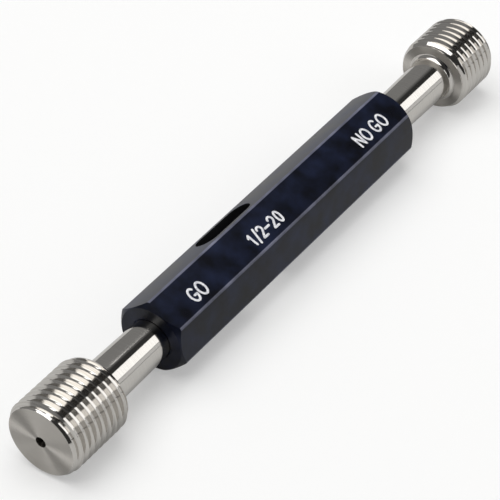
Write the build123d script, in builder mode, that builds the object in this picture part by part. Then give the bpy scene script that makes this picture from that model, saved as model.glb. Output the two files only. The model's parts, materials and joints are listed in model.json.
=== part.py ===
from build123d import *
from math import acos, cos, degrees, hypot, radians, sin, tan
import os

# Double-ended thread plug gauge, millimetres. The GO member and the NO GO member each have a
# tapered shank that locks in one end of a hexagon handle. The gauge lies on its two threaded
# heads, with one corner of the hexagon just off the floor. +X runs along it from GO to NO GO,
# and +Z is up. The origin is on the floor below the middle of its length.

# Thread: 1/2-20, right hand. NO GO is larger at the pitch line by the product's tolerance
thread_diameter = 12.700
pitch = 25.4 / 20
flank_angle = 30.0
product_tolerance = 0.142
ridge_foot_depth = 0.150

# Heads: bevelled at both ends, almost down to the root of the thread
go_head_length = 12.700
no_go_head_length = 9.525
bevel_above_root = 0.090
head_bevel_angle = 30.0

# Shanks: one long taper, bare from the head to the handle and seated in the handle beyond
shank_mouth_diameter = 6.840
shank_taper = 1 / 30
go_bare_length = 13.250
no_go_bare_length = 14.950
seated_length = 19.050
neck_fillet = 0.800
tip_chamfer = 0.300

# Centre holes in both ends of each member, from grinding between centres
centre_hole_diameter = 1.000
countersink_diameter = 1.800
countersink_angle = 60.0
centre_hole_depth = 2.600

# Handle: hexagon bar with its ends turned to a circle
handle_length = 63.500
hexagon_across_flats = 11.1125
hexagon_corner_radius = 0.500
corner_clearance = 0.070
end_circle_inside_flats = 0.10625
end_bevel_angle = 45.0

# Bore: taper reamed a little deeper than each shank goes, and drilled through between
reamed_past_tip = 1.000
drill_allowance = 0.150

# Drift slot, through two opposite flats, for driving the members out
slot_length = 12.200
slot_width = 4.400
slot_centre_from_go_end = 23.050

# Thread form, from the height of the sharp 60 degree triangle
sharp_height = pitch / 2 / tan(radians(flank_angle))
root_diameter = thread_diameter - sharp_height * 5 / 4
go_pitch_diameter = thread_diameter - sharp_height * 3 / 4
no_go_pitch_diameter = go_pitch_diameter + product_tolerance
no_go_major_diameter = no_go_pitch_diameter + sharp_height / 2
head_face_radius = root_diameter / 2 + bevel_above_root

# Where things stand along the gauge
go_end_length = go_head_length + go_bare_length
no_go_end_length = no_go_head_length + no_go_bare_length
overall_length = go_end_length + handle_length + no_go_end_length
axis_height = max(thread_diameter, no_go_major_diameter, hexagon_across_flats) / 2
handle_start = -overall_length / 2 + go_end_length
slot_centre = handle_start + slot_centre_from_go_end

# The gauge has rolled until a rounded corner of the hexagon all but meets the floor
corner_arm = (hexagon_across_flats / 2 - hexagon_corner_radius) / cos(radians(30))
corner_drop = axis_height - corner_clearance - hexagon_corner_radius
corner_from_plumb = degrees(acos(min(1.0, corner_drop / corner_arm)))
roll = max(0.0, 30 - corner_from_plumb)
marked_flat_angle = 90 + roll
slot_flat_angle = marked_flat_angle - 60


def across(angle):
    """The direction square to the gauge's axis, at an angle from +Y towards +Z."""
    return Vector(0, cos(radians(angle)), sin(radians(angle)))


# Each piece is laid out from a plane across the axis, which faces along the piece
go_face = Plane((-overall_length / 2, 0, axis_height), x_dir=across(90), z_dir=(1, 0, 0))
no_go_face = Plane((overall_length / 2, 0, axis_height), x_dir=across(90), z_dir=(-1, 0, 0))
handle_face = Plane((handle_start, 0, axis_height), x_dir=across(roll), z_dir=(1, 0, 0))


def turning_plane(face):
    """A plane through the axis: local x is the distance from the face, local y the radius."""
    return Plane(face.origin, x_dir=face.z_dir, z_dir=face.z_dir.cross(face.x_dir))


def turn(face, points, mode=Mode.ADD):
    """Turn an outline of (distance, radius) points about the axis."""
    with BuildSketch(turning_plane(face)) as outline:
        with BuildLine():
            Polyline(*points, close=True)
        make_face()
    revolve(outline.sketch, axis=Axis(face.origin, face.z_dir), mode=mode)


def shank_radius(depth):
    """The shank's radius at a depth inside the handle, or outside it where that is negative."""
    return (shank_mouth_diameter - shank_taper * depth) / 2


def thread_ridge(face, head_length, major_diameter, pitch_diameter):
    """The ridge of a right-hand thread, bevelled at both ends. Its foot is inside the core."""
    crest = major_diameter / 2
    foot = root_diameter / 2 - ridge_foot_depth
    half_crest = pitch / 4 - (major_diameter - pitch_diameter) / 2 * tan(radians(flank_angle))
    half_foot = half_crest + (crest - foot) * tan(radians(flank_angle))
    corners = [(crest, -half_crest), (crest, half_crest), (foot, half_foot), (foot, -half_foot)]

    # It runs a full turn past both faces, and a crest passes over the measuring face's local x
    run = head_length + 2 * pitch
    edges = [
        face.location * Edge.make_helix(pitch, run, radius, center=(0, 0, distance - pitch))
        for radius, distance in corners
    ]
    sides = [Face.make_surface_from_curves(edges[i - 1], edges[i]) for i in range(4)]
    ends = [Face(Wire.make_polygon([edge @ share for edge in edges])) for share in (0, 1)]
    add(Solid(Shell(sides + ends)))

    clear_radius = crest + pitch / 2
    bevel_length = (clear_radius - head_face_radius) / tan(radians(head_bevel_angle))
    bevelled = [
        (0, 0),
        (0, head_face_radius),
        (bevel_length, clear_radius),
        (head_length - bevel_length, clear_radius),
        (head_length, head_face_radius),
        (head_length, 0),
    ]
    turn(face, bevelled, Mode.INTERSECT)


def turned_blank(face, head_length, bare_length):
    """The head's core and the shank, filleted at the neck and chamfered at the shank's tip."""
    core_radius = root_diameter / 2
    neck = (head_length, shank_radius(-bare_length))
    tip = (head_length + bare_length + seated_length, shank_radius(seated_length))
    core = [(0, 0), (0, core_radius), (head_length, core_radius)]
    with BuildSketch(turning_plane(face)) as outline:
        with BuildLine():
            Polyline(*core, neck, tip, (tip[0], 0), close=True)
        make_face()
        fillet(outline.vertices().sort_by_distance(neck)[0], neck_fillet)
        chamfer(outline.vertices().sort_by_distance(tip)[0], tip_chamfer)
    revolve(outline.sketch, axis=Axis(face.origin, face.z_dir))


def centre_holes(face, tip_distance):
    """Countersunk centre holes in the measuring face and in the shank's tip."""
    measuring_face = Plane(face.origin, x_dir=face.x_dir, z_dir=-face.z_dir)
    with Locations(measuring_face, face.offset(tip_distance)):
        CounterSinkHole(
            centre_hole_diameter / 2,
            countersink_diameter / 2,
            depth=centre_hole_depth,
            counter_sink_angle=countersink_angle,
        )


with BuildPart() as go_member:
    thread_ridge(go_face, go_head_length, thread_diameter, go_pitch_diameter)
    turned_blank(go_face, go_head_length, go_bare_length)
    centre_holes(go_face, go_end_length + seated_length)

with BuildPart() as no_go_member:
    thread_ridge(no_go_face, no_go_head_length, no_go_major_diameter, no_go_pitch_diameter)
    turned_blank(no_go_face, no_go_head_length, no_go_bare_length)
    centre_holes(no_go_face, no_go_end_length + seated_length)

with BuildPart() as handle:
    with BuildSketch(handle_face) as bar_section:
        RegularPolygon(hexagon_across_flats / 2, 6, major_radius=False)
        fillet(bar_section.vertices(), hexagon_corner_radius)
    extrude(amount=handle_length)

    # Turning both ends to a circle bevels the corners, slightly domed about the axis
    end_radius = hexagon_across_flats / 2 - end_circle_inside_flats
    corner_radius = hexagon_across_flats / 2 / cos(radians(30))
    bevel_length = (corner_radius - end_radius) / tan(radians(end_bevel_angle))
    dome_centre = (bevel_length + (corner_radius**2 - end_radius**2) / bevel_length) / 2
    dome_radius = hypot(dome_centre, end_radius)
    corner_line = [(bevel_length, corner_radius), (handle_length - bevel_length, corner_radius)]
    with BuildSketch(turning_plane(handle_face)) as turned_ends:
        with BuildLine():
            Polyline((0, end_radius), (0, 0), (handle_length, 0), (handle_length, end_radius))
            RadiusArc((0, end_radius), corner_line[0], dome_radius)
            Line(*corner_line)
            RadiusArc(corner_line[1], (handle_length, end_radius), dome_radius)
        make_face()
    revolve(axis=Axis(handle_face.origin, (1, 0, 0)), mode=Mode.INTERSECT)

    # Tapered seats from both ends, and the drilled bore between them
    reamed_depth = seated_length + reamed_past_tip
    reamed_radius = shank_radius(reamed_depth)
    bore_radius = reamed_radius - drill_allowance / 2
    bore = [
        (0, 0),
        (0, shank_radius(0)),
        (reamed_depth, reamed_radius),
        (reamed_depth, bore_radius),
        (handle_length - reamed_depth, bore_radius),
        (handle_length - reamed_depth, reamed_radius),
        (handle_length, shank_radius(0)),
        (handle_length, 0),
    ]
    turn(handle_face, bore, Mode.SUBTRACT)

    slot_plane = Plane((slot_centre, 0, axis_height), x_dir=(1, 0, 0), z_dir=across(slot_flat_angle))
    with BuildSketch(slot_plane):
        SlotOverall(slot_length, slot_width)
    extrude(amount=corner_radius, both=True, mode=Mode.SUBTRACT)

os.makedirs("parts", exist_ok=True)
go_member.part.label = "go_member"
export_step(go_member.part, "parts/go_member.step")
no_go_member.part.label = "no_go_member"
export_step(no_go_member.part, "parts/no_go_member.step")
handle.part.label = "handle"
export_step(handle.part, "parts/handle.step")
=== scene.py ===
import json
from math import atan2, ceil, cos, hypot, pi, radians, sin, sqrt, tan

import bmesh
import bpy
from mathutils import Matrix, Vector


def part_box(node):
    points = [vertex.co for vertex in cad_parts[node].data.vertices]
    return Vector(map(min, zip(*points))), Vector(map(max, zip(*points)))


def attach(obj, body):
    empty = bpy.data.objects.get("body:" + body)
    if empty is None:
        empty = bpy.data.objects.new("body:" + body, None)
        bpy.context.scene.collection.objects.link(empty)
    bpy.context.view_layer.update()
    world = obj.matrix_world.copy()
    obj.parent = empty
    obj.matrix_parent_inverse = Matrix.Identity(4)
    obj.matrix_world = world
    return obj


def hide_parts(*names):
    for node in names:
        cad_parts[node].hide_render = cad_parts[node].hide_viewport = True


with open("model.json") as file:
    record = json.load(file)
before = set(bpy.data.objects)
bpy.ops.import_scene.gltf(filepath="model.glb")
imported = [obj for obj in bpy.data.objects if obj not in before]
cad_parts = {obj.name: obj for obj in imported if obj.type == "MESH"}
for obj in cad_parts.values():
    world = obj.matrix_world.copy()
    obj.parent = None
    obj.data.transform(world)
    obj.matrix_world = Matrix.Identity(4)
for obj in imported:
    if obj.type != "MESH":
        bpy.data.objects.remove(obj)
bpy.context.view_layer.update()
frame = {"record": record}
print("frame loaded")

mm = 0.001
goLow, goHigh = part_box("go_member")
_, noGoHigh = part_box("no_go_member")
handleLow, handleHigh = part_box("handle")
axisHeight = (goLow.z + goHigh.z) / 2
middle = Vector((0, 0, axisHeight))

# The marked flat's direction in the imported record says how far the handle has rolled
mounts = {mount["name"]: mount for mount in frame["record"]["mounts"]}
_, flatY, flatZ = mounts["marked_flat"]["axis"]
flatAngle = atan2(flatZ, flatY)

ringSteps = 192  # round every turned piece
sharpAngle = radians(25)  # edges steeper than this stay crisp
mathNode = "ShaderNodeMath"


def toLinear(hexColour):
    channels = [int(hexColour[i:i + 2], 16) / 255 for i in (1, 3, 5)]
    return [c / 12.92 if c <= 0.04045 else ((c + 0.055) / 1.055) ** 2.4 for c in channels] + [1.0]


def addNode(tree, kind, values=None, **settings):
    # values: a socket's name or number -> a plain value, or another node's output
    node = tree.nodes.new(kind)
    for setting, value in settings.items():
        setattr(node, setting, value)
    for socket, value in (values or {}).items():
        if isinstance(value, bpy.types.NodeSocket):
            tree.links.new(value, node.inputs[socket])
        else:
            node.inputs[socket].default_value = value
    return node


def startMaterial(name, values):
    material = bpy.data.materials.new(name)
    material.use_nodes = True
    shader = material.node_tree.nodes["Principled BSDF"]
    for socket, value in values.items():
        shader.inputs[socket].default_value = value
    return material, material.node_tree, shader


def distanceFromAxis(tree, place):
    # how far a point of the surface is from the gauge's own axis, in metres
    centred = addNode(tree, "ShaderNodeMapping", {
        "Vector": place.outputs["Object"], "Location": (0, 0, -axisHeight), "Scale": (0, 1, 1),
    })
    length = addNode(tree, "ShaderNodeVectorMath", {0: centred.outputs[0]}, operation="LENGTH")
    return length.outputs["Value"]


def startTree(name, inputs):
    tree = bpy.data.node_groups.new(name, "GeometryNodeTree")
    tree.interface.new_socket("Geometry", in_out="INPUT", socket_type="NodeSocketGeometry")
    for label, kind in inputs.items():
        tree.interface.new_socket(label, in_out="INPUT", socket_type="NodeSocket" + kind)
    tree.interface.new_socket("Geometry", in_out="OUTPUT", socket_type="NodeSocketGeometry")
    return tree, addNode(tree, "NodeGroupInput").outputs


def endTree(tree, geometry, material):
    solid = addNode(tree, "GeometryNodeRealizeInstances", {"Geometry": geometry})
    painted = addNode(tree, "GeometryNodeSetMaterial", {
        "Geometry": solid.outputs[0], "Material": material,
    })
    addNode(tree, "NodeGroupOutput", {"Geometry": painted.outputs[0]})


def runTree(source, tree, values):
    # the tree's result on a source object, as a plain mesh
    modifier = source.modifiers.new(tree.name, "NODES")
    modifier.node_group = tree
    for item in tree.interface.items_tree:
        if item.in_out == "INPUT" and item.name in values:
            modifier[item.identifier] = values[item.name]
    evaluated = source.evaluated_get(bpy.context.evaluated_depsgraph_get())
    mesh = bpy.data.meshes.new_from_object(evaluated)
    source.modifiers.remove(modifier)
    bpy.data.objects.remove(source)
    return mesh


def addObject(name, data):
    piece = bpy.data.objects.new(name, data)
    bpy.context.scene.collection.objects.link(piece)
    return piece


def finishMesh(builder, name):
    # faces outward, then the builder is let go
    bmesh.ops.recalc_face_normals(builder, faces=builder.faces)
    mesh = bpy.data.meshes.new(name)
    builder.to_mesh(mesh)
    builder.free()
    return mesh


def smooth(mesh):
    mesh.shade_smooth()
    mesh.set_sharp_from_angle(angle=sharpAngle)


# Hardened tool steel, ground between centres: almost a mirror, with a faint warm grey. Fine
# rings round the axis smear each light a little along the piece and keep its edge crisp round it
groundSteelLook = {
    "shader": {
        "Metallic": 1.0, "Roughness": 0.09, "Anisotropic": 0.5, "Anisotropic Rotation": 0.25,
    },
    "bands": ((0.3, "#bfbbb6"), (0.55, "#cecbc6")),
    "ringWidth": 0.12,  # mm, real marks of about 0.01 mm drawn coarser so that they show
    "ringHeight": 0.0008,
    "ringRelief": 0.5,
}
groundSteel, tree, shader = startMaterial("Ground tool steel", groundSteelLook["shader"])
place = addNode(tree, "ShaderNodeTexCoord")
along = addNode(tree, "ShaderNodeSeparateXYZ", {0: place.outputs["Object"]})
rings = addNode(tree, "ShaderNodeTexNoise", {
    "W": along.outputs["X"], "Scale": 1 / (groundSteelLook["ringWidth"] * mm),
    "Detail": 3.0, "Roughness": 0.6,
}, noise_dimensions="1D")
shade = addNode(tree, "ShaderNodeValToRGB", {"Fac": rings.outputs["Fac"]})
for stop, (position, colour) in zip(shade.color_ramp.elements, groundSteelLook["bands"]):
    stop.position, stop.color = position, toLinear(colour)
tree.links.new(shade.outputs["Color"], shader.inputs["Base Color"])
relief = addNode(tree, "ShaderNodeBump", {
    "Strength": groundSteelLook["ringRelief"], "Distance": groundSteelLook["ringHeight"] * mm,
    "Height": rings.outputs["Fac"],
})
tree.links.new(relief.outputs["Normal"], shader.inputs["Normal"])
grain = addNode(tree, "ShaderNodeTangent", direction_type="RADIAL", axis="X")
tree.links.new(grain.outputs["Tangent"], shader.inputs["Tangent"])

# The same steel on the end faces, finished across the centre hole: a satin sheen that gathers
# into two brighter fans on opposite sides of the hole, over faint rings
facedSteelLook = {
    "shader": {"Metallic": 1.0, "Roughness": 0.56, "Anisotropic": 0.95},
    "bands": ((0.3, "#c8c4be"), (0.6, "#d8d4ce")),
    "ringWidth": 0.06,  # mm
    "ringHeight": 0.002,
    "ringRelief": 0.6,
}
facedSteel, tree, shader = startMaterial("Faced tool steel", facedSteelLook["shader"])
place = addNode(tree, "ShaderNodeTexCoord")
rings = addNode(tree, "ShaderNodeTexNoise", {
    "W": distanceFromAxis(tree, place), "Scale": 1 / (facedSteelLook["ringWidth"] * mm),
    "Detail": 2.0,
}, noise_dimensions="1D")
shade = addNode(tree, "ShaderNodeValToRGB", {"Fac": rings.outputs["Fac"]})
for stop, (position, colour) in zip(shade.color_ramp.elements, facedSteelLook["bands"]):
    stop.position, stop.color = position, toLinear(colour)
tree.links.new(shade.outputs["Color"], shader.inputs["Base Color"])
relief = addNode(tree, "ShaderNodeBump", {
    "Strength": facedSteelLook["ringRelief"], "Distance": facedSteelLook["ringHeight"] * mm,
    "Height": rings.outputs["Fac"],
})
tree.links.new(relief.outputs["Normal"], shader.inputs["Normal"])
grain = addNode(tree, "ShaderNodeTangent", direction_type="RADIAL", axis="X")
tree.links.new(grain.outputs["Tangent"], shader.inputs["Tangent"])

# The inside of a drilled centre hole: rough and unpolished, its colour painted near black with a
# faint mottle as painted shade in the hole
holeShadeSteelLook = {
    "shader": {"Metallic": 1.0, "Roughness": 0.55},
    "bands": ((0.35, "#1c1a18"), (0.7, "#3a3632")),
    "mottleSize": 0.4,  # mm
}
holeShadeSteel, tree, shader = startMaterial("Drilled tool steel with painted shade", holeShadeSteelLook["shader"])
place = addNode(tree, "ShaderNodeTexCoord")
mottledShade = addNode(tree, "ShaderNodeTexNoise", {
    "Vector": place.outputs["Object"], "Scale": 1 / (holeShadeSteelLook["mottleSize"] * mm),
})
shade = addNode(tree, "ShaderNodeValToRGB", {"Fac": mottledShade.outputs["Fac"]})
for stop, (position, colour) in zip(shade.color_ramp.elements, holeShadeSteelLook["bands"]):
    stop.position, stop.color = position, toLinear(colour)
tree.links.new(shade.outputs["Color"], shader.inputs["Base Color"])

# Aluminium bar, anodised black: a blue-black coat with a soft satin gloss, faint lengthwise
# lines from drawing the bar, and cloudy patches where the dye took unevenly
anodisedLook = {
    "shader": {"Metallic": 0.0, "IOR": 1.3},
    "bands": ((0.35, "#090b14"), (0.7, "#1a2138")),
    "cloudSize": 4.0,  # mm
    "roughness": (0.24, 0.36),
    "wearAndHighlightColour": "#8a8ca0",
    "wearAndHighlightFrom": 6.2, "wearAndHighlightTo": 6.235,  # mm from the axis
    "lineWidth": 0.25, "lineStretch": 0.02,
    "lineHeight": 0.002, "lineRelief": 0.4,
}
anodised, tree, shader = startMaterial("Black anodised aluminium", anodisedLook["shader"])
place = addNode(tree, "ShaderNodeTexCoord")
clouds = addNode(tree, "ShaderNodeTexNoise", {
    "Vector": place.outputs["Object"], "Scale": 1 / (anodisedLook["cloudSize"] * mm),
    "Detail": 3.0,
})
shade = addNode(tree, "ShaderNodeValToRGB", {"Fac": clouds.outputs["Fac"]})
for stop, (position, colour) in zip(shade.color_ramp.elements, anodisedLook["bands"]):
    stop.position, stop.color = position, toLinear(colour)
# the six corners are furthest from the axis, and their coat is painted lighter there, partly as
# wear from handling and partly as a painted highlight along each corner
rubbedAndLit = addNode(tree, "ShaderNodeMapRange", {
    "Value": distanceFromAxis(tree, place),
    "From Min": anodisedLook["wearAndHighlightFrom"] * mm, "From Max": anodisedLook["wearAndHighlightTo"] * mm,
})
patchy = addNode(tree, mathNode, {
    0: rubbedAndLit.outputs[0], 1: clouds.outputs["Fac"],
}, operation="MULTIPLY")
wearAndHighlight = addNode(tree, "ShaderNodeMix", {
    0: patchy.outputs[0], 6: shade.outputs["Color"], 7: toLinear(anodisedLook["wearAndHighlightColour"]),
}, data_type="RGBA")
tree.links.new(wearAndHighlight.outputs[2], shader.inputs["Base Color"])
glossiest, dullest = anodisedLook["roughness"]
gloss = addNode(tree, "ShaderNodeMapRange", {
    "Value": clouds.outputs["Fac"], "To Min": glossiest, "To Max": dullest,
})
tree.links.new(gloss.outputs[0], shader.inputs["Roughness"])
drawn = addNode(tree, "ShaderNodeMapping", {
    "Vector": place.outputs["Object"], "Scale": (anodisedLook["lineStretch"], 1, 1),
})
lines = addNode(tree, "ShaderNodeTexNoise", {
    "Vector": drawn.outputs[0], "Scale": 1 / (anodisedLook["lineWidth"] * mm), "Detail": 2.0,
})
relief = addNode(tree, "ShaderNodeBump", {
    "Strength": anodisedLook["lineRelief"], "Distance": anodisedLook["lineHeight"] * mm,
    "Height": lines.outputs["Fac"],
})
tree.links.new(relief.outputs["Normal"], shader.inputs["Normal"])

# The same coat in the slot and the bore, over milled and reamed walls: duller, and painted full
# black as shade in these recesses
anodisedShadedInsideLook = {
    "shader": {"Roughness": 0.5, "IOR": 1.3},
    "bands": ((0.0, "#050506"), (1.0, "#0c0c0f")),
    "dyeSize": 1.5,  # mm
}
anodisedShadedInside, tree, shader = startMaterial(
    "Black anodised milled aluminium with painted shade", anodisedShadedInsideLook["shader"]
)
place = addNode(tree, "ShaderNodeTexCoord")
dye = addNode(tree, "ShaderNodeTexNoise", {
    "Vector": place.outputs["Object"], "Scale": 1 / (anodisedShadedInsideLook["dyeSize"] * mm),
})
shade = addNode(tree, "ShaderNodeValToRGB", {"Fac": dye.outputs["Fac"]})
for stop, (position, colour) in zip(shade.color_ramp.elements, anodisedShadedInsideLook["bands"]):
    stop.position, stop.color = position, toLinear(colour)
tree.links.new(shade.outputs["Color"], shader.inputs["Base Color"])

# Enamel wiped into engraved lettering: chalky white, a little uneven along the cut
whiteFillLook = {
    "shader": {"Roughness": 0.55},
    "bands": ((0.3, "#c9cad2"), (0.6, "#f4f4f6")),
    "wipeSize": 0.5,  # mm
}
whiteFill, tree, shader = startMaterial("White enamel fill", whiteFillLook["shader"])
place = addNode(tree, "ShaderNodeTexCoord")
wiped = addNode(tree, "ShaderNodeTexNoise", {
    "Vector": place.outputs["Object"], "Scale": 1 / (whiteFillLook["wipeSize"] * mm),
})
shade = addNode(tree, "ShaderNodeValToRGB", {"Fac": wiped.outputs["Fac"]})
for stop, (position, colour) in zip(shade.color_ramp.elements, whiteFillLook["bands"]):
    stop.position, stop.color = position, toLinear(colour)
tree.links.new(shade.outputs["Color"], shader.inputs["Base Color"])
print("materials made")


# A screw thread follows one rule: a trapezoid wave wound along a helix. Each row of the grid
# is one step round the axis, and its columns run along the axis, tooth after tooth
threadShape = {
    "diameter": 12.7, "pitch": 25.4 / 20,  # mm
    "flankAngle": radians(30),
    "oversize": 0.142,  # NO GO over GO on the pitch diameter, which is the product's tolerance
    "crestSteps": 4, "flankSteps": 8, "rootSteps": 4,  # along one tooth
    "spareTurns": 1.1,  # one tooth before the near face, and a little past the far one
    "weld": 0.0005, "faceTolerance": 1e-6,
}
toothSteps = threadShape["crestSteps"] + 2 * threadShape["flankSteps"] + threadShape["rootSteps"]

tree, given = startTree("Screw thread", {
    "Turns": "Int", "Segments": "Int", "Length": "Float", "Pitch": "Float",
    "Crest Radius": "Float", "Depth": "Float", "Face Radius": "Float", "Bevel Slope": "Float",
    "Crest Width": "Float", "Flank Width": "Float", "Root Width": "Float",
    "Material": "Material",
})
threadTree = tree
columns = addNode(tree, mathNode, {
    0: given["Turns"], 1: toothSteps, 2: 1.0,
}, operation="MULTIPLY_ADD")
rows = addNode(tree, mathNode, {0: given["Segments"], 1: 1.0}, operation="ADD")
grid = addNode(tree, "GeometryNodeMeshGrid", {
    "Vertices X": rows.outputs[0], "Vertices Y": columns.outputs[0],
})
index = addNode(tree, "GeometryNodeInputIndex")
rowShare = addNode(tree, mathNode, {
    0: index.outputs[0], 1: columns.outputs[0],
}, operation="DIVIDE")
row = addNode(tree, mathNode, {0: rowShare.outputs[0]}, operation="FLOOR")
turnShare = addNode(tree, mathNode, {0: row.outputs[0], 1: given["Segments"]}, operation="DIVIDE")
column = addNode(tree, mathNode, {
    0: index.outputs[0], 1: columns.outputs[0],
}, operation="MODULO")
toothShare = addNode(tree, mathNode, {0: column.outputs[0], 1: toothSteps}, operation="DIVIDE")
tooth = addNode(tree, mathNode, {0: toothShare.outputs[0]}, operation="FLOOR")
station = addNode(tree, mathNode, {0: column.outputs[0], 1: toothSteps}, operation="MODULO")

# Distance along the axis starts half a crest before a crest's centre, one tooth before the face
turnsIn = addNode(tree, mathNode, {0: tooth.outputs[0], 1: turnShare.outputs[0]}, operation="ADD")
toothIn = addNode(tree, mathNode, {0: turnsIn.outputs[0], 1: 1.0}, operation="SUBTRACT")
centre = addNode(tree, mathNode, {0: toothIn.outputs[0], 1: given["Pitch"]}, operation="MULTIPLY")
start = addNode(tree, mathNode, {
    0: given["Crest Width"], 1: -0.5, 2: centre.outputs[0],
}, operation="MULTIPLY_ADD")
fall = addNode(tree, mathNode, {0: given["Depth"], 1: -1.0}, operation="MULTIPLY")
axial, radius = start.outputs[0], given["Crest Radius"]
first = 0
for steps, width, climb in (
    (threadShape["crestSteps"], given["Crest Width"], 0.0),
    (threadShape["flankSteps"], given["Flank Width"], fall.outputs[0]),
    (threadShape["rootSteps"], given["Root Width"], 0.0),
    (threadShape["flankSteps"], given["Flank Width"], given["Depth"]),
):
    last = first + steps
    share = addNode(tree, "ShaderNodeMapRange", {
        "Value": station.outputs[0], "From Min": first, "From Max": last,
    }).outputs[0]
    axial = addNode(tree, mathNode, {
        0: share, 1: width, 2: axial,
    }, operation="MULTIPLY_ADD").outputs[0]
    radius = addNode(tree, mathNode, {
        0: share, 1: climb, 2: radius,
    }, operation="MULTIPLY_ADD").outputs[0]
    first = last

# What runs past either face closes up onto that face's edge, and the bevels trim the crests
inside = addNode(tree, "ShaderNodeClamp", {"Value": axial, "Min": 0.0, "Max": given["Length"]})
fromFar = addNode(tree, mathNode, {
    0: given["Length"], 1: inside.outputs[0],
}, operation="SUBTRACT")
fromEnd = addNode(tree, mathNode, {
    0: inside.outputs[0], 1: fromFar.outputs[0],
}, operation="MINIMUM")
bevel = addNode(tree, mathNode, {
    0: fromEnd.outputs[0], 1: given["Bevel Slope"], 2: given["Face Radius"],
}, operation="MULTIPLY_ADD")
trimmed = addNode(tree, mathNode, {0: radius, 1: bevel.outputs[0]}, operation="MINIMUM")
atFace = addNode(tree, mathNode, {
    0: fromEnd.outputs[0], 1: threadShape["faceTolerance"] * mm,
}, operation="LESS_THAN")
reach = addNode(tree, "GeometryNodeSwitch", {
    "Switch": atFace.outputs[0], "False": trimmed.outputs[0], "True": given["Face Radius"],
}, input_type="FLOAT")
angle = addNode(tree, mathNode, {0: turnShare.outputs[0], 1: 2 * pi}, operation="MULTIPLY")
cosine = addNode(tree, mathNode, {0: angle.outputs[0]}, operation="COSINE")
sine = addNode(tree, mathNode, {0: angle.outputs[0]}, operation="SINE")
acrossY = addNode(tree, mathNode, {0: reach.outputs[0], 1: cosine.outputs[0]}, operation="MULTIPLY")
acrossZ = addNode(tree, mathNode, {0: reach.outputs[0], 1: sine.outputs[0]}, operation="MULTIPLY")
spot = addNode(tree, "ShaderNodeCombineXYZ", {
    0: inside.outputs[0], 1: acrossY.outputs[0], 2: acrossZ.outputs[0],
})
wound = addNode(tree, "GeometryNodeSetPosition", {
    "Geometry": grid.outputs[0], "Position": spot.outputs[0],
})
welded = addNode(tree, "GeometryNodeMergeByDistance", {
    "Geometry": wound.outputs[0], "Distance": threadShape["weld"] * mm,
})
endTree(tree, welded.outputs[0], given["Material"])


# Members: a threaded head and a tapered shank, turned and ground in one piece. The thread's
# radii follow from the height of its sharp triangle
threadRadius, flankSlope = threadShape["diameter"] / 2, tan(threadShape["flankAngle"])
sharpHeight = threadShape["pitch"] / 2 / flankSlope
rootRadius = threadRadius - sharpHeight * 5 / 8
goPitchRadius = threadRadius - sharpHeight * 3 / 8
noGoPitchRadius = goPitchRadius + threadShape["oversize"] / 2

goShape = {
    "headLength": 12.7, "bareLength": 13.25, "seatedLength": 19.05,  # mm
    "crestRadius": threadRadius, "pitchRadius": goPitchRadius,
}
noGoShape = {
    "headLength": 9.525, "bareLength": 14.95, "seatedLength": 19.05,  # mm
    "crestRadius": noGoPitchRadius + sharpHeight / 4, "pitchRadius": noGoPitchRadius,
}
memberShape = {
    "faceRadius": rootRadius + 0.09, "faceRings": (1.5, 2.5, 3.5, 4.5), "backRing": 0.3,  # mm
    "bevelSlope": tan(radians(30)),
    "mouthRadius": 3.42, "taper": 1 / 60, "shankSteps": 14,
    "neckFillet": 0.8, "filletSteps": 8, "tipChamfer": 0.3,
    "centreHoleRadius": 0.5, "centreHoleDepth": 2.6, "drillPoint": 118,  # mm and degrees
    "countersinkRadius": 0.9, "countersinkAngle": 60,
    "weld": 0.001, "squareTo": 0.99,  # how nearly a face looks along the axis to count as an end
}


def centreHole(distance, into):
    # from the bottom of the drilled hole to the countersink's edge
    hole, depth = memberShape["centreHoleRadius"], memberShape["centreHoleDepth"]
    sink = memberShape["countersinkRadius"]
    bottom = depth - hole * tan(radians(90 - memberShape["drillPoint"] / 2))
    sinkDepth = (sink - hole) / tan(radians(memberShape["countersinkAngle"] / 2))
    return [
        (distance + into * depth, 0), (distance + into * bottom, hole),
        (distance + into * sinkDepth, hole), (distance, sink),
    ]


def turnOutline(builder, outline):
    # spins (distance, radius) points round local x
    rings = []
    for distance, reach in outline:
        count = ringSteps if reach else 1
        turns = [2 * pi * i / count for i in range(count)]
        rings.append([
            builder.verts.new((distance * mm, reach * cos(turn) * mm, reach * sin(turn) * mm))
            for turn in turns
        ])
    for near, far in zip(rings, rings[1:]):
        for i in range(ringSteps):
            inner = (near[i % len(near)], near[(i + 1) % len(near)])
            outer = (far[(i + 1) % len(far)], far[i % len(far)])
            builder.faces.new(dict.fromkeys(inner + outer))


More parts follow.
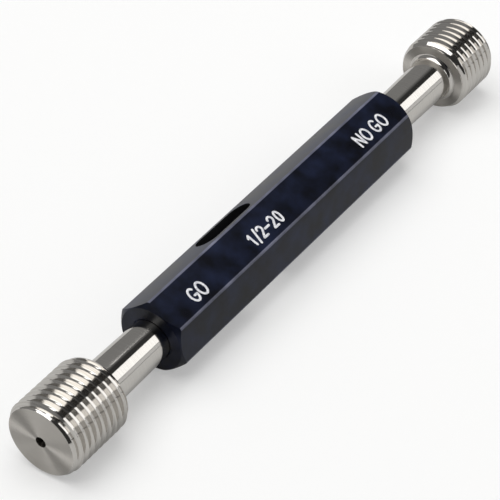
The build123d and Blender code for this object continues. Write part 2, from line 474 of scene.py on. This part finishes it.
def makeMember(name, shape, faceX, inward):
    pitch, face = threadShape["pitch"], memberShape["faceRadius"]
    length, crest = shape["headLength"], shape["crestRadius"]
    depth = crest - rootRadius
    crestWidth = pitch / 2 - 2 * (crest - shape["pitchRadius"]) * flankSlope
    flankWidth = depth * flankSlope
    source = addObject("threadSource", bpy.data.meshes.new("threadSource"))
    thread = runTree(source, threadTree, {
        "Turns": ceil(length / pitch + threadShape["spareTurns"]), "Segments": ringSteps,
        "Length": length * mm, "Pitch": pitch * mm,
        "Crest Radius": crest * mm, "Depth": depth * mm, "Face Radius": face * mm,
        "Bevel Slope": memberShape["bevelSlope"], "Crest Width": crestWidth * mm,
        "Flank Width": flankWidth * mm, "Root Width": (pitch - crestWidth - 2 * flankWidth) * mm,
        "Material": groundSteel,
    })

    mouth = length + shape["bareLength"]
    tip = mouth + shape["seatedLength"]
    fillet, chamfer = memberShape["neckFillet"], memberShape["tipChamfer"]

    def shankRadius(distance):
        return memberShape["mouthRadius"] + (mouth - distance) * memberShape["taper"]

    builder = bmesh.new()
    builder.from_mesh(thread)
    bpy.data.meshes.remove(thread)
    faceRings = [(0, reach) for reach in memberShape["faceRings"] + (face,)]
    turnOutline(builder, centreHole(0, 1) + faceRings)

    neck = shankRadius(length + fillet) + fillet
    outline = [(length, face), (length, neck + memberShape["backRing"])]
    for i in range(memberShape["filletSteps"] + 1):
        sweep = radians(90 * i / memberShape["filletSteps"])
        outline.append((length + fillet - fillet * cos(sweep), neck - fillet * sin(sweep)))
    straight = tip - chamfer - length - fillet
    for i in range(1, memberShape["shankSteps"] + 1):
        distance = length + fillet + straight * i / memberShape["shankSteps"]
        outline.append((distance, shankRadius(distance)))
    outline += [(tip, shankRadius(tip) - chamfer)] + centreHole(tip, -1)[::-1]
    turnOutline(builder, outline)

    bmesh.ops.remove_doubles(builder, verts=builder.verts, dist=memberShape["weld"] * mm)
    openEdges = sum(1 for edge in builder.edges if len(edge.link_faces) != 2)
    mesh = finishMesh(builder, name)

    # local x runs into the gauge and local y points up
    mesh.transform(Matrix((
        (inward, 0, 0, faceX),
        (0, 0, -inward, 0),
        (0, 1, 0, axisHeight),
        (0, 0, 0, 1),
    )))
    mesh.materials.clear()
    for material in (groundSteel, facedSteel, holeShadeSteel):
        mesh.materials.append(material)
    smooth(mesh)
    for polygon in mesh.polygons:
        fromAxis = hypot(polygon.center.y, polygon.center.z - axisHeight)
        # the centre holes and their countersinks take the steel painted dark as shade
        if fromAxis < memberShape["countersinkRadius"] * mm:
            polygon.material_index = 2
        else:
            polygon.material_index = int(abs(polygon.normal.x) > memberShape["squareTo"])
    print(name, len(mesh.polygons), "faces,", openEdges, "open edges")
    return addObject(name, mesh)


goMember = makeMember("go_gauging_member", goShape, goLow.x, 1)
noGoMember = makeMember("no_go_gauging_member", noGoShape, noGoHigh.x, -1)


# Handle: a hexagon bar with domed ends, a taper-reamed bore and a drift slot
handleShape = {
    "acrossFlats": 11.1125, "cornerRadius": 0.5, "flatSteps": 14, "cornerSteps": 6,  # mm
    "cornerStrip": 0.08,  # a narrow strip beside each corner keeps its curve out of the flat
    "crown": 0.06,  # drawn bar is a hair lower at a flat's edges than along its middle
    "flatRings": (1.5, 6, 12, 18, 24),
    "endCircleInside": 0.10625, "endStrip": 0.08, "domeSteps": 5, "mouthBreak": 0.12,
    "reamedDepth": 20.05, "reamSteps": 8, "shankClearance": 0.01, "drillAllowance": 0.075,
    "wallsDeeperThan": 0.15, "wallsPast": 1.5,  # "wallsDeeperThan": 0.15, "wallsPast": 1.5, # the darker coat, painted shade in the slot and bore, starts so far from flats and ends
}
slotShape = {
    "length": 12.2, "width": 4.4, "centreFromGoEnd": 23.05,  # mm
    "edgeBreak": 0.06, "cutPast": 1.0, "endSteps": 20,
}
apothem = handleShape["acrossFlats"] / 2
handleLength = (handleHigh.x - handleLow.x) / mm


def barSection():
    # (angle, radius) points round the hexagon, from the marked flat
    rounding, crown = handleShape["cornerRadius"], handleShape["crown"]
    halfFlat = (apothem - rounding) * tan(radians(30))
    arm = (apothem - crown - rounding) / cos(radians(30))
    inner, steps = halfFlat - handleShape["cornerStrip"], handleShape["flatSteps"]
    offsets = [inner * (2 * i / steps - 1) for i in range(steps + 1)]
    offsets = [-halfFlat] + offsets + [halfFlat]
    points = []
    for side in range(6):
        squareOn = flatAngle + radians(60 * side)
        for offset in offsets:
            height = apothem - crown * (offset / halfFlat) ** 2
            points.append((squareOn + atan2(offset, height), hypot(offset, height)))
        for i in range(1, handleShape["cornerSteps"]):
            lean = radians(60 * i / handleShape["cornerSteps"] - 30)
            outward, sideways = arm + rounding * cos(lean), rounding * sin(lean)
            turn = squareOn + radians(30) + atan2(sideways, outward)
            points.append((turn, hypot(outward, sideways)))
    return points


def makeHandle(name):
    section = barSection()
    endRadius = apothem - handleShape["endCircleInside"]
    sharpCorner = apothem / cos(radians(30))
    bevelLength = sharpCorner - endRadius
    domeCentre = (bevelLength + (sharpCorner ** 2 - endRadius ** 2) / bevelLength) / 2
    domeRadius = hypot(domeCentre, endRadius)

    # the GO half, from the bore's middle out through the end to the middle of the flats
    depth, edge, taper = handleShape["reamedDepth"], handleShape["mouthBreak"], memberShape["taper"]
    mouth = memberShape["mouthRadius"] + handleShape["shankClearance"]
    reamed = mouth - depth * taper
    bore = [(depth, reamed - handleShape["drillAllowance"])]
    for i in range(handleShape["reamSteps"] + 1):
        climbed = (depth - edge) * i / handleShape["reamSteps"]
        bore.append((depth - climbed, reamed + climbed * taper))
    bore += [(0, mouth + edge), (0, endRadius - handleShape["endStrip"])]
    rings = [[(distance, reach) for _ in section] for distance, reach in bore]
    for i in range(handleShape["domeSteps"] + 1):
        share = i / handleShape["domeSteps"]
        reaches = [endRadius + (full - endRadius) * share for _, full in section]
        dome = [domeCentre - sqrt(domeRadius ** 2 - reach ** 2) for reach in reaches]
        rings.append(list(zip(dome, reaches)))
    rings += [[(distance, full) for _, full in section] for distance in handleShape["flatRings"]]
    farHalf = rings[::-1]
    rings += [[(handleLength - distance, reach) for distance, reach in ring] for ring in farHalf]

    builder = bmesh.new()
    loops = [
        [
            builder.verts.new((
                handleLow.x + distance * mm,
                reach * cos(turn) * mm,
                axisHeight + reach * sin(turn) * mm,
            ))
            for (distance, reach), (turn, _) in zip(ring, section)
        ]
        for ring in rings
    ]
    for near, far in zip(loops, loops[1:] + loops[:1]):
        for i in range(len(section)):
            builder.faces.new((near[i - 1], near[i], far[i], far[i - 1]))
    return finishMesh(builder, name)


def makeSlotCutter():
    # a stadium drawn out along the slot, a little wider where it leaves each flat
    squareOn = flatAngle - radians(60)
    out = Vector((0, cos(squareOn), sin(squareOn)))
    side = Vector((0, -sin(squareOn), cos(squareOn)))
    centre = Vector((handleLow.x + slotShape["centreFromGoEnd"] * mm, 0, axisHeight))
    straight = (slotShape["length"] - slotShape["width"]) / 2
    widening, beyond = slotShape["edgeBreak"], slotShape["cutPast"]
    levels = [(-apothem - beyond, widening + beyond), (-apothem + widening, 0)]
    levels += [(-height, extra) for height, extra in levels[::-1]]
    builder = bmesh.new()
    loops = []
    for height, extra in levels:
        reach = slotShape["width"] / 2 + extra
        loop = []
        for end in (1, -1):
            for i in range(slotShape["endSteps"] + 1):
                turn = pi * i / slotShape["endSteps"] - end * pi / 2
                lengthwise, sideways = end * straight + reach * cos(turn), reach * sin(turn)
                offset = Vector((1, 0, 0)) * lengthwise + side * sideways + out * height
                loop.append(builder.verts.new(centre + offset * mm))
        loops.append(loop)
    for near, far in zip(loops, loops[1:]):
        for i in range(len(near)):
            builder.faces.new((near[i - 1], near[i], far[i], far[i - 1]))
    builder.faces.new(loops[0])
    builder.faces.new(loops[-1])
    return addObject("slotCutter", finishMesh(builder, "slotCutter"))


blank = addObject("handleBlank", makeHandle("handleBlank"))
cutter = makeSlotCutter()
cut = blank.modifiers.new("drift slot", "BOOLEAN")
cut.operation, cut.object, cut.solver = "DIFFERENCE", cutter, "EXACT"
evaluated = blank.evaluated_get(bpy.context.evaluated_depsgraph_get())
handleMesh = bpy.data.meshes.new_from_object(evaluated)
handleMesh.name = "hexagon_handle"
bpy.data.objects.remove(blank)
bpy.data.objects.remove(cutter)
handleMesh.materials.clear()
handleMesh.materials.append(anodised)
handleMesh.materials.append(anodisedShadedInside)
smooth(handleMesh)
flatTurns = [flatAngle + radians(60 * side) for side in range(6)]
flatDirections = [Vector((0, cos(turn), sin(turn))) for turn in flatTurns]
wallReach = (apothem - handleShape["wallsDeeperThan"]) * mm
wallStart = handleLow.x + handleShape["wallsPast"] * mm
wallEnd = handleHigh.x - handleShape["wallsPast"] * mm
# faces inside the slot and the bore take the darker coat, painted as shade
for polygon in handleMesh.polygons:
    fromMiddle = polygon.center - middle
    within = max(direction.dot(fromMiddle) for direction in flatDirections) < wallReach
    polygon.material_index = int(within and wallStart < polygon.center.x < wallEnd)
handle = addObject("hexagon_handle", handleMesh)
print("handle made,", len(handleMesh.polygons), "faces")


# Markings: single strokes on the marked flat, filled with enamel. A glyph is lines between two
# points, and arcs given by centre, half width, half height, first and last degree, all at a
# letter height of 1
glyphs = {
    "G": [
        ("arc", 0.31, 0.5, 0.31, 0.5, 48, 318),
        ("line", 0.54, 0.17, 0.6, 0.44), ("line", 0.6, 0.44, 0.34, 0.44),
    ],
    "O": [("arc", 0.31, 0.5, 0.31, 0.5, 0, 360)],
    "N": [("line", 0, 0, 0, 1), ("line", 0, 1, 0.53, 0), ("line", 0.53, 0, 0.53, 1)],
    "0": [("arc", 0.22, 0.5, 0.22, 0.5, 0, 360)],
    "1": [("line", 0, 0, 0, 1), ("line", 0, 1, -0.2, 0.78)],
    "2": [
        ("arc", 0.25, 0.73, 0.24, 0.27, 165, -38),
        ("line", 0.44, 0.56, 0, 0), ("line", 0, 0, 0.5, 0),
    ],
    "/": [("line", 0, -0.12, 0.35, 1.1)],
    "-": [("line", 0, 0.5, 0.5, 0.5)],
}
markingShape = {
    "strokeWidth": 0.4, "proud": 0.03, "belowMiddle": 0.69,  # mm
    "roundSteps": 16, "capRings": 8, "circlePoints": 36, "arcPoints": 28,
}
# Where each letter starts is in mm from the GO member's measuring face
markings = [
    {"text": "GO", "height": 2.27, "starts": (32.3, 34.2)},
    {"text": "1/2-20", "height": 2.0, "starts": (48.1, 48.9, 50.0, 51.4, 52.85, 54.5)},
    {"text": "NOGO", "height": 2.27, "starts": (77.1, 78.9, 81.5, 83.45)},
]

tree, given = startTree("Filled stroke", {
    "Width": "Float", "Proud": "Float", "Material": "Material",
})
strokeTree = tree
halfWidth = addNode(tree, mathNode, {0: given["Width"], 1: 0.5}, operation="MULTIPLY")
ring = addNode(tree, "GeometryNodeCurvePrimitiveCircle", {
    "Resolution": markingShape["roundSteps"], "Radius": 1.0,
})
ringScale = addNode(tree, "ShaderNodeCombineXYZ", {
    0: halfWidth.outputs[0], 1: given["Proud"], 2: 1.0,
})
flattened = addNode(tree, "GeometryNodeTransform", {
    "Geometry": ring.outputs[0], "Scale": ringScale.outputs[0],
})
level = addNode(tree, "GeometryNodeSetCurveNormal", {"Curve": given["Geometry"]}, mode="Z_UP")
stroke = addNode(tree, "GeometryNodeCurveToMesh", {
    "Curve": level.outputs[0], "Profile Curve": flattened.outputs[0], "Fill Caps": True,
})
ends = addNode(tree, "GeometryNodeCurveEndpointSelection")
closedLoop = addNode(tree, "GeometryNodeInputSplineCyclic")
looseEnds = addNode(tree, "FunctionNodeBooleanMath", {
    0: ends.outputs[0], 1: closedLoop.outputs[0],
}, operation="NIMPLY")
ball = addNode(tree, "GeometryNodeMeshUVSphere", {
    "Segments": markingShape["roundSteps"], "Rings": markingShape["capRings"], "Radius": 1.0,
})
ballScale = addNode(tree, "ShaderNodeCombineXYZ", {
    0: halfWidth.outputs[0], 1: halfWidth.outputs[0], 2: given["Proud"],
})
rounded = addNode(tree, "GeometryNodeInstanceOnPoints", {
    "Points": given["Geometry"], "Selection": looseEnds.outputs[0],
    "Instance": ball.outputs[0], "Scale": ballScale.outputs[0],
})
both = addNode(tree, "GeometryNodeJoinGeometry", {"Geometry": stroke.outputs[0]})
tree.links.new(rounded.outputs[0], both.inputs[0])
endTree(tree, both.outputs[0], given["Material"])


def arcPoints(centreX, centreY, halfX, halfY, first, last):
    closed = abs(last - first) == 360
    count = markingShape["circlePoints"] if closed else markingShape["arcPoints"]
    gaps = count if closed else count - 1
    turns = [radians(first + (last - first) * i / gaps) for i in range(count)]
    return closed, [(centreX + halfX * cos(turn), centreY + halfY * sin(turn)) for turn in turns]


lettering = bpy.data.curves.new("lettering", "CURVE")
lettering.dimensions = "3D"
for marking in markings:
    for letter, start in zip(marking["text"], marking["starts"]):
        for kind, *numbers in glyphs[letter]:
            if kind == "arc":
                closed, points = arcPoints(*numbers)
            else:
                closed, points = False, [numbers[:2], numbers[2:]]
            spline = lettering.splines.new("POLY")
            spline.points.add(len(points) - 1)
            spline.use_cyclic_u = closed
            for point, (right, up) in zip(spline.points, points):
                right = start + right * marking["height"]
                up = (up - 0.5) * marking["height"] - markingShape["belowMiddle"]
                point.co = (right * mm, up * mm, 0, 1)
markingMesh = runTree(addObject("lettering", lettering), strokeTree, {
    "Width": markingShape["strokeWidth"] * mm, "Proud": markingShape["proud"] * mm,
    "Material": whiteFill,
})
upward = Vector((0, sin(flatAngle), -cos(flatAngle)))
outward = Vector((0, cos(flatAngle), sin(flatAngle)))
flatOrigin = Vector((goLow.x, 0, axisHeight)) + outward * apothem * mm
ontoFlat = Matrix((Vector((1, 0, 0)), upward, outward)).transposed().to_4x4()
markingMesh.transform(Matrix.Translation(flatOrigin) @ ontoFlat)
markingMesh.name = "flat_markings"
smooth(markingMesh)
flatMarkings = addObject("flat_markings", markingMesh)
print("markings made,", len(markingMesh.polygons), "faces")

for piece, node, finish in (
    (goMember, "go_member", "gauge_steel"),
    (noGoMember, "no_go_member", "gauge_steel"),
    (handle, "handle", "anodised_handle"),
):
    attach(piece, "root")
    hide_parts(node)
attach(flatMarkings, "root")
print("pieces put on the frame")


# Matte white card: takes soft shadows, with a little extra white where the camera sees it, and
# a share of that in the steel's reflections
floorShape = {
    "halfSize": 1.5, "colour": "#cececd", "roughness": 0.9, "lift": 0.36, "glossShare": 0.3,
}
half = floorShape["halfSize"]
floorCorners = [(-half, -half, 0), (half, -half, 0), (half, half, 0), (-half, half, 0)]
floorMesh = bpy.data.meshes.new("floor")
floorMesh.from_pydata(floorCorners, [], [(0, 1, 2, 3)])
floor = addObject("floor", floorMesh)
card, tree, shader = startMaterial("White card", {
    "Base Color": toLinear(floorShape["colour"]), "Roughness": floorShape["roughness"],
    "Emission Color": toLinear("#ffffff"),
})
rays = addNode(tree, "ShaderNodeLightPath")
seen = addNode(tree, mathNode, {
    0: rays.outputs["Is Glossy Ray"], 1: floorShape["glossShare"], 2: rays.outputs["Is Camera Ray"],
}, operation="MULTIPLY_ADD")
lift = addNode(tree, mathNode, {0: seen.outputs[0], 1: floorShape["lift"]}, operation="MULTIPLY")
tree.links.new(lift.outputs[0], shader.inputs["Emission Strength"])
floorMesh.materials.append(card)

# Each panel hangs toward a direction from the gauge's middle, at so many metres. Its first edge
# is level and turned so many degrees from the gauge, and its face leans in about that edge, so
# the edges reflect in the steel as straight lines
panels = [
    {
        "name": "side panel", "toward": (0.72, -0.59, 0.514), "distance": 0.6,
        "size": (0.45, 0.344), "turn": 0, "radiance": 1.6,
    },
    {
        "name": "inner side panel", "toward": (0.24, -0.67, 0.41), "distance": 0.6,
        "size": (0.15, 0.18), "turn": 0, "radiance": 1.56,
    },
    {
        "name": "low side panel", "toward": (0.62, -0.77, 0.143), "distance": 0.6,
        "size": (0.6, 0.15), "turn": 0, "radiance": 0.7,
    },
    {
        "name": "overhead panel", "toward": (-0.065, 0.223, 1.0), "distance": 0.87,
        "size": (1.09, 1.0), "turn": 35, "radiance": 2.5,
    },
]
for panel in panels:
    data = bpy.data.lights.new(panel["name"], "AREA")
    data.shape, (data.size, data.size_y) = "RECTANGLE", panel["size"]
    data.energy = panel["radiance"] * pi * data.size * data.size_y
    lamp = addObject(panel["name"], data)
    toward, turn = Vector(panel["toward"]), radians(panel["turn"])
    side = Vector((cos(turn), sin(turn), 0))
    back = (toward - side * toward.dot(side)).normalized()
    facing = Matrix((side, back.cross(side), back)).transposed().to_4x4()
    lamp.matrix_world = Matrix.Translation(middle + toward * panel["distance"]) @ facing
    lamp.visible_camera = False

# A dim room behind the panels and a paler wall on the far side: the camera sees it as white
roomShape = {"dimSide": -0.1, "paleSide": 0.15, "dim": 0.05, "pale": 0.335}
world = bpy.data.worlds.new("studio")
bpy.context.scene.world = world
world.use_nodes = True
tree = world.node_tree
tree.nodes.clear()
place = addNode(tree, "ShaderNodeTexCoord")
direction = addNode(tree, "ShaderNodeSeparateXYZ", {0: place.outputs["Generated"]})
grey = addNode(tree, "ShaderNodeMapRange", {
    "Value": direction.outputs["Y"],
    "From Min": roomShape["dimSide"], "From Max": roomShape["paleSide"],
    "To Min": roomShape["dim"], "To Max": roomShape["pale"],
})
rays = addNode(tree, "ShaderNodeLightPath")
seen = addNode(tree, mathNode, {
    0: grey.outputs[0], 1: rays.outputs["Is Camera Ray"],
}, operation="MAXIMUM")
background = addNode(tree, "ShaderNodeBackground", {"Strength": seen.outputs[0]})
addNode(tree, "ShaderNodeOutputWorld", {"Surface": background.outputs[0]})

cameraView = {
    "place": (-238.55, -162.77, 249.59), "aim": (0.6218, 0.4346, -0.6512),
    "lens": 175.8, "sensor": 36, "roll": -0.13,  # mm and degrees
}
cameraData = bpy.data.cameras.new("camera")
cameraData.lens, cameraData.sensor_width = cameraView["lens"], cameraView["sensor"]
camera = addObject("camera", cameraData)
aimed = (-Vector(cameraView["aim"])).to_track_quat("Z", "Y").to_matrix().to_4x4()
rolled = Matrix.Rotation(radians(cameraView["roll"]), 4, "Z")
camera.matrix_world = Matrix.Translation(Vector(cameraView["place"]) * mm) @ aimed @ rolled
bpy.context.scene.camera = camera
bpy.context.scene.view_settings.view_transform = "Standard"
print("floor, lights and camera set")
